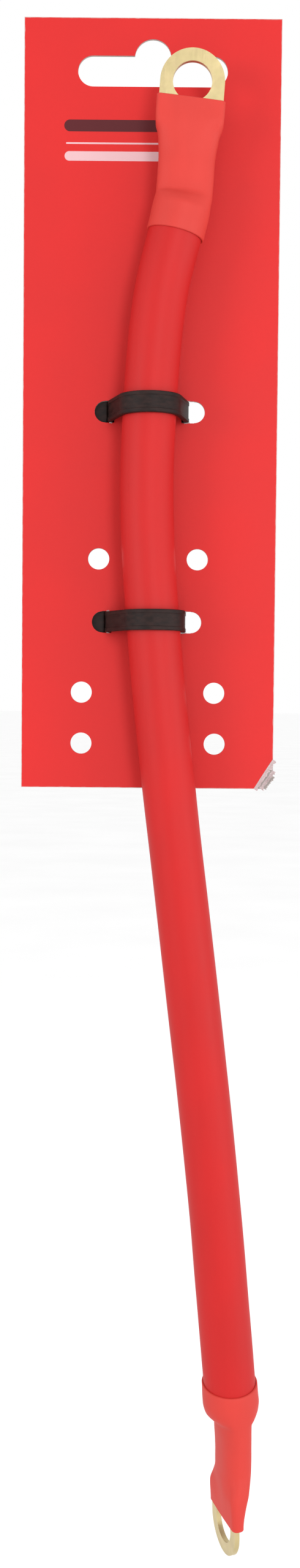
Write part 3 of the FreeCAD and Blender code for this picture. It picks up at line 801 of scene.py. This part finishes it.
# How much smaller the head's window is than the strap between its teeth, so that it closes,
# and how far apart two points may be and still count as level.
WINDOW_GRIP = 0.06 * MM
TOUCHING = 0.01 * MM

# The grip ribs: how far each stands out and how thick it is, its share of the head's width,
# how far its middle is inside the head's end, and where the ribs start and how they follow.
RIB_COUNT = 3
RIB_SIZE = (0.45 * MM, 0.5 * MM)
RIB_SHARE = 0.62
RIB_SINK = 0.12 * MM
RIB_START = 1.3 * MM
RIB_PITCH = 1.1 * MM
RIB_EDGE = 0.12 * MM

# The pawl: its thickness and length, its share of the window's width, how far its middle is
# inside the head's end, how much its tip thins, and how far the tip may reach the strap.
PAWL_SIZE = (0.5 * MM, 1.2 * MM)
PAWL_SHARE = 0.7
PAWL_SINK = 0.1 * MM
PAWL_THINS = 0.3 * MM
PAWL_BITE = 0.05 * MM


def card_faces():
    """The y of the card's printed face and of its back, in metres."""
    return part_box("card_front_liner")[0].y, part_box("card_back_liner")[1].y


def left_of(way):
    """The level direction to the left of a way."""
    return Vector((-way.y, way.x, 0))


def tangent_way(first, first_radius, second, second_radius):
    """The direction of the line that leaves one clockwise arc and joins the next."""
    gap = second - first
    angle = math.atan2(gap.y, gap.x) + math.acos((first_radius - second_radius) / gap.length)
    left = Vector((math.cos(angle), math.sin(angle), 0))
    return Vector((left.y, -left.x, 0))


def lead_centre(height):
    """The lead's centre at a height."""
    points = [Vector(p) for p in bpy.context.scene["lead_line"]]
    for a, b in zip(points, points[1:]):
        if b.z <= height <= a.z:
            return a.lerp(b, (height - a.z) / (b.z - a.z))
    raise ValueError("the lead doesn't reach that height")


def strap_stations(left, right, height, wrap, thickness):
    """Middle points of the strap and its directions, clockwise from the head."""
    front, back = card_faces()
    lead = lead_centre(height)
    back_y = back + HEAD_OFF_CARD + thickness / 2
    tail_x = left + TAIL_OFFSET
    pass_x = right - PUNCH_RADIUS + PUNCH_GAP + thickness / 2
    circles = (
        (Vector((pass_x - BACK_BEND, back_y - BACK_BEND, 0)), BACK_BEND),
        (Vector((lead.x, lead.y, 0)), wrap),
        (Vector((tail_x + LEFT_BEND, front - LEFT_BEND_LIFT, 0)), LEFT_BEND),
    )
    ways = [Vector((1, 0, 0))]
    for (a, ra), (b, rb) in zip(circles, circles[1:]):
        ways.append(tangent_way(a, ra, b, rb))
    ways.append(Vector((0, 1, 0)))
    corners = [(Vector((tail_x + HEAD_PAST_TAIL - STRAP_IN_HEAD, back_y, 0)), ways[0])]
    for (centre, radius), enter, leave in zip(circles, ways, ways[1:]):
        turn = enter.angle(leave)
        steps = max(4, round(turn * radius / (TOOTH_PITCH / 2)))
        for i in range(steps + 1):
            way = Matrix.Rotation(-turn * i / steps, 3, "Z") @ enter
            corners.append((centre + left_of(way) * radius, way))
    end_y = back + HEAD_OFF_CARD + HEAD_SIZE[1] + STUB
    corners.append((Vector((tail_x, end_y, 0)), ways[-1]))
    return fill_straights(corners)


def fill_straights(corners):
    """Add stations along the straights, half a tooth apart."""
    made = [corners[0]]
    for (a, _), (b, way) in zip(corners, corners[1:]):
        gap = (b - a).length
        steps = max(1, round(gap / (TOOTH_PITCH / 2)))
        made += [(a.lerp(b, i / steps), way) for i in range(1, steps + 1)]
    return made


def strap_ring(spot, way, height, width, thickness, tooth):
    """The strap's section: side rails, a shallow channel outside, teeth inside."""
    outward = left_of(way)
    up = Vector((0, 0, 1))
    half, rail, edge = width / 2, width / 2 - RAIL_WIDTH, STRAP_EDGE
    out, floor = thickness / 2, thickness / 2 - CHANNEL_DEPTH
    inside = thickness / 2 - TOOTH_DEPTH * (1 - tooth)
    section = (
        (out, -half + edge), (out, -rail), (floor, -rail + edge), (floor, rail - edge),
        (out, rail), (out, half - edge), (out - edge, half), (edge - thickness / 2, half),
        (-thickness / 2, half - edge), (-thickness / 2, rail), (-inside, rail - edge),
        (-inside, edge - rail), (-thickness / 2, -rail), (-thickness / 2, edge - half),
        (edge - thickness / 2, -half), (out - edge, -half),
    )
    base = Vector((spot.x, spot.y, height))
    return [base + outward * a + up * b for a, b in section]


def tie_head(bm, tail_x, height, window):
    """The head: a rounded block with a window for the strap."""
    back = card_faces()[1] + HEAD_OFF_CARD
    length_x, depth, width = HEAD_SIZE
    middle = tail_x + HEAD_PAST_TAIL - length_x / 2
    turn = Matrix.Rotation(math.pi / 2, 4, "X")
    place = Matrix.Translation((middle, back, height)) @ turn
    grid = bmesh.ops.create_grid(bm, x_segments=1, y_segments=1, size=0.5, matrix=place)["verts"]
    for v in grid:
        v.co.x = middle + math.copysign(length_x / 2, v.co.x - middle)
        v.co.z = height + math.copysign(width / 2, v.co.z - height)
    face = grid[0].link_faces[0]
    outer = list(face.edges)
    rim = bmesh.ops.inset_individual(bm, faces=[face], thickness=HEAD_RIM)["faces"]
    for v in face.verts:
        v.co.x = tail_x + math.copysign(window[0] / 2, v.co.x - middle)
        v.co.z = height + math.copysign(window[1] / 2, v.co.z - height)
    bmesh.ops.delete(bm, geom=[face], context="FACES_ONLY")
    grown = bmesh.ops.extrude_face_region(bm, geom=rim)["geom"]
    raised = [g for g in grown if isinstance(g, bmesh.types.BMVert)]
    bmesh.ops.translate(bm, verts=raised, vec=(0, depth, 0))
    outline = [v for v in raised if abs(v.co.z - height) > window[1] / 2 + TOUCHING]
    for v in outline:
        v.co.x = middle + (v.co.x - middle) * HEAD_TAPER[0]
        v.co.z = height + (v.co.z - height) * HEAD_TAPER[1]
    corners = [e for v in outline for e in v.link_edges if e.other_vert(v) not in raised]
    around = [e for v in outline for e in v.link_edges if e.other_vert(v) in outline]
    edges = list({*corners, *around, *outer})
    bmesh.ops.bevel(bm, geom=edges, offset=HEAD_EDGE, segments=4, profile=0.5, affect="EDGES", material=-1)


def grip_ribs(bm, tail_x, height):
    """Raised ribs across the head's outer end."""
    back = card_faces()[1] + HEAD_OFF_CARD
    outer_end = tail_x + HEAD_PAST_TAIL - HEAD_SIZE[0]
    for i in range(RIB_COUNT):
        spot = Vector((outer_end + RIB_SINK, back + RIB_START + RIB_PITCH * i, height))
        size = Matrix.Diagonal((*RIB_SIZE, HEAD_SIZE[2] * RIB_SHARE, 1))
        rib = bmesh.ops.create_cube(bm, size=1.0, matrix=Matrix.Translation(spot) @ size)["verts"]
        edges = list({e for v in rib for e in v.link_edges})
        bmesh.ops.bevel(bm, geom=edges, offset=RIB_EDGE, segments=2, profile=0.5, affect="EDGES", material=-1)


def pawl(bm, tail_x, height, window):
    """The locking pawl, a wedge in the window's mouth beside the strap."""
    end = card_faces()[1] + HEAD_OFF_CARD + HEAD_SIZE[1]
    side = tail_x + window[0] / 2
    spot = Vector((side + PAWL_SIZE[0] / 2, end - PAWL_SINK, height))
    size = Matrix.Diagonal((*PAWL_SIZE, window[1] * PAWL_SHARE, 1))
    wedge = bmesh.ops.create_cube(bm, size=1.0, matrix=Matrix.Translation(spot) @ size)["verts"]
    for v in wedge:
        if v.co.y > spot.y:
            v.co.x = max(v.co.x - PAWL_THINS, side - PAWL_BITE)


def cable_tie(name, row, sizes):
    """One tie: its strap with rails and teeth, and its head."""
    left, right, height = (v * MM for v in row)
    thickness = sizes.strap_thickness * MM
    wrap = sizes.jacket_radius * MM + STRAP_GAP + thickness / 2
    width = sizes.strap_width * MM
    stations = strap_stations(left, right, height, wrap, thickness)
    rings = [strap_ring(*place, height, width, thickness, i % 2) for i, place in enumerate(stations)]
    bm = sweep(rings, False)
    tail_x = left + TAIL_OFFSET
    window = (thickness - 2 * TOOTH_DEPTH - WINDOW_GRIP, width - WINDOW_GRIP)
    tie_head(bm, tail_x, height, window)
    grip_ribs(bm, tail_x, height)
    pawl(bm, tail_x, height, window)
    piece = finish_piece(bm, f"{name}_moulding", MATERIALS["nylon"], 30)
    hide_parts(name)


class LEAD_OT_ties(bpy.types.Operator):
    """Make the cable ties that hold the lead to the card"""

    bl_idname = "lead.ties"
    bl_label = "Cable ties"

    def execute(self, context):
        for name, row in TIE_ROWS.items():
            cable_tie(name, row, context.scene.lead_sizes)
        return {"FINISHED"}


# ---------------------------------------------------------------- the card


class LEAD_OT_card(bpy.types.Operator):
    """Finish the card's three plies"""

    bl_idname = "lead.card"
    bl_label = "Card"

    def execute(self, context):
        for name, finish in (
            ("card_front_liner", "printed"),
            ("card_core", "board"),
            ("card_back_liner", "liner"),
        ):
            dress(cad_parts[name], MATERIALS[finish])
        return {"FINISHED"}


# A torn strip's cells along and across, the shares of its reach that are even, ragged and
# finely frayed, and the share of its lift that it curls by.
STRIP_CELLS = (26, 5)
EVEN, RAGGED, FRAYED = 0.45, 0.55, 0.3
CURL = 0.6


def ragged_strip(bm, start, end, outward, reach, lift, seed):
    """A torn strip of paper along a line: uneven outer edge, lifted towards the viewer."""
    across, rows = STRIP_CELLS
    grid = bmesh.ops.create_grid(bm, x_segments=across, y_segments=rows, size=0.5)["verts"]
    for v in grid:
        u, w = v.co.x + 0.5, v.co.y + 0.5
        fray = EVEN + RAGGED * abs(noise.noise(Vector((u * 9.0, seed, 0.3))))
        fray += FRAYED * noise.noise(Vector((u * 31.0, seed + 4.0, w)))
        curl = w * w * (CURL + CURL * noise.noise(Vector((u * 5.0, w * 2.0, seed))))
        spot = start.lerp(end, u) + outward * (w * reach * fray)
        v.co = spot + Vector((0, -lift * curl, 0))


def torn_strips(name, strips, material, thickness_mm):
    """A piece made of torn strips, with the paper's thickness."""
    bm = bmesh.new()
    for seed, (start, end, outward, reach, lift) in enumerate(strips):
        ragged_strip(bm, start, end, outward, reach, lift, 1.7 * seed + 0.9)
    bmesh.ops.recalc_face_normals(bm, faces=bm.faces)
    bmesh.ops.solidify(bm, geom=bm.faces, thickness=thickness_mm * MM)
    finish_piece(bm, name, MATERIALS[material], 60)


def at_mm(x, y, z):
    """A place given in millimetres, in metres."""
    return Vector((x, y, z)) * MM


# The torn edges at the tie holes, in millimetres: where they lie in front of the card, how far
# their two ends are above a hole's middle, where they end beside it, and how far they stand out.
SHRED_Y = -0.42
SHRED_RISE = (2.32, 2.2)
SHRED_END = 0.9
SHRED_REACH, SHRED_LIFT = 0.3, 0.12


class LEAD_OT_tears(bpy.types.Operator):
    """Make the torn corner's frayed plies and the torn edges at the tie holes"""

    bl_idname = "lead.tears"
    bl_label = "Torn paper"

    def execute(self, context):
        down_right = Vector((0.85, 0, -0.53))
        corner = (
            (at_mm(27.45, -0.3, -149.6), at_mm(23.2, -0.3, -156.0), down_right, 1.5 * MM, 0.5 * MM),
            (at_mm(27.4, -0.2, -152.0), at_mm(24.6, -0.2, -155.9), down_right, 1.2 * MM, 0.7 * MM),
        )
        torn_strips("torn_liner_edge", corner, "torn", 0.07)
        core = (
            (at_mm(27.4, 0.0, -153.2), at_mm(25.4, 0.0, -155.9), down_right, 1.1 * MM, 0.25 * MM),
            (at_mm(27.4, 0.2, -153.2), at_mm(25.5, 0.2, -155.9), down_right, 0.8 * MM, -0.3 * MM),
        )
        torn_strips("torn_board_edge", core, "board", 0.09)
        holes = []
        for left, right, height in TIE_ROWS.values():
            for x, way, inner in ((left, 1, 1.5), (right, -1, 2.1)):
                for up in (-1, 1):
                    start = at_mm(x + way * inner, SHRED_Y, height + up * SHRED_RISE[0])
                    end = at_mm(x + way * SHRED_END, SHRED_Y, height + up * SHRED_RISE[1])
                    holes.append((start, end, Vector((0, 0, up)), SHRED_REACH * MM, SHRED_LIFT * MM))
        torn_strips("torn_hole_edges", holes, "torn", 0.05)
        return {"FINISHED"}


# ---------------------------------------------------------------- a step that does nothing


class LEAD_OT_declare(bpy.types.Operator):
    """A step that does nothing: the cable's real length, thickness and fittings are not declared"""

    bl_idname = "lead.declare"
    bl_label = "Declare the cable"

    def execute(self, context):
        return {"FINISHED"}


# ---------------------------------------------------------------- stage

# The camera's place and lens are in millimetres, its angles in degrees, and the rest in metres.
CAMERA_PLACE = (0.67, -347.9, -137.0)
CAMERA_ELEVATION = 3.0
CAMERA_ROLL = 0.5
FOCAL_LENGTH = 36.56
NEAREST_SEEN = 0.01
FLOOR_DROP = 0.035
FLOOR_SIZE = 30.0

# Soft boxes: place and size in metres, power in watts.
SOFT_BOXES = (
    ("soft_box_left", (-0.75, -0.65, 0.0), 0.4, 3.0),
    ("soft_box_right", (0.30, -0.95, 0.05), 0.3, 3.2),
    ("soft_box_side", (0.85, -0.40, -0.2), 0.5, 3.0),
)
AIM = Vector((0, 0, -0.15))


class LEAD_OT_stage(bpy.types.Operator):
    """Set the camera, the pale floor and the soft studio light"""

    bl_idname = "lead.stage"
    bl_label = "Stage"

    def execute(self, context):
        lens = bpy.data.cameras.new("camera")
        lens.lens = FOCAL_LENGTH
        lens.clip_start = NEAREST_SEEN
        camera = bpy.data.objects.new("camera", lens)
        context.scene.collection.objects.link(camera)
        tilt = Matrix.Rotation(math.radians(90 - CAMERA_ELEVATION), 4, "X")
        roll = Matrix.Rotation(math.radians(CAMERA_ROLL), 4, "Z")
        camera.matrix_world = Matrix.Translation(Vector(CAMERA_PLACE) * MM) @ tilt @ roll
        context.scene.camera = camera

        bm = bmesh.new()
        level = Matrix.Translation((0, 0, CAD_BOX[0].z - FLOOR_DROP))
        bmesh.ops.create_grid(bm, x_segments=1, y_segments=1, size=FLOOR_SIZE, matrix=level)
        mesh = bpy.data.meshes.new("floor")
        bm.to_mesh(mesh)
        bm.free()
        floor = bpy.data.objects.new("floor", mesh)
        context.scene.collection.objects.link(floor)
        mesh.materials.append(studio_floor())

        world = bpy.data.worlds.new("studio_white")
        world.use_nodes = True
        context.scene.world = world
        backdrop = world.node_tree.nodes["Background"]
        backdrop.inputs["Color"].default_value = (1, 1, 1, 1)
        backdrop.inputs["Strength"].default_value = 1.0
        context.scene.view_settings.view_transform = "Standard"

        for name, place, size, power in SOFT_BOXES:
            light = bpy.data.lights.new(name, "AREA")
            light.shape = "DISK"
            light.size = size
            light.energy = power
            lamp = bpy.data.objects.new(name, light)
            context.scene.collection.objects.link(lamp)
            lamp.rotation_euler = (AIM - Vector(place)).to_track_quat("-Z", "Y").to_euler()
            lamp.location = place
        return {"FINISHED"}


# ---------------------------------------------------------------- add-on

OPERATORS = (
    LEAD_OT_stage,
    LEAD_OT_cable,
    LEAD_OT_sleeves,
    LEAD_OT_terminals,
    LEAD_OT_ties,
    LEAD_OT_card,
    LEAD_OT_tears,
    LEAD_OT_declare,
)


class LEAD_PT_panel(bpy.types.Panel):
    """Lists the lead's pieces, sizes and colours"""

    bl_idname = "LEAD_PT_panel"
    bl_label = "Battery Lead"
    bl_space_type = "VIEW_3D"
    bl_region_type = "UI"
    bl_category = "Battery Lead"

    def draw(self, context):
        for operator in OPERATORS:
            self.layout.operator(operator.bl_idname)
        for group in (context.scene.lead_sizes, context.scene.lead_colours):
            for name in group.__annotations__:
                self.layout.prop(group, name)


CLASSES = (LeadSizes, LeadColours, *OPERATORS, LEAD_PT_panel)


def register():
    """Add the classes and the scene's settings."""
    for cls in CLASSES:
        bpy.utils.register_class(cls)
    bpy.types.Scene.lead_sizes = PointerProperty(type=LeadSizes)
    bpy.types.Scene.lead_colours = PointerProperty(type=LeadColours)


def unregister():
    """Take the settings and the classes away again."""
    del bpy.types.Scene.lead_colours
    del bpy.types.Scene.lead_sizes
    for cls in reversed(CLASSES):
        bpy.utils.unregister_class(cls)


def main():
    """Build everything in order."""
    register()
    make_materials()
    for operator in OPERATORS:
        group, name = operator.bl_idname.split(".")
        getattr(getattr(bpy.ops, group), name)()


if __name__ == "__main__":
    main()
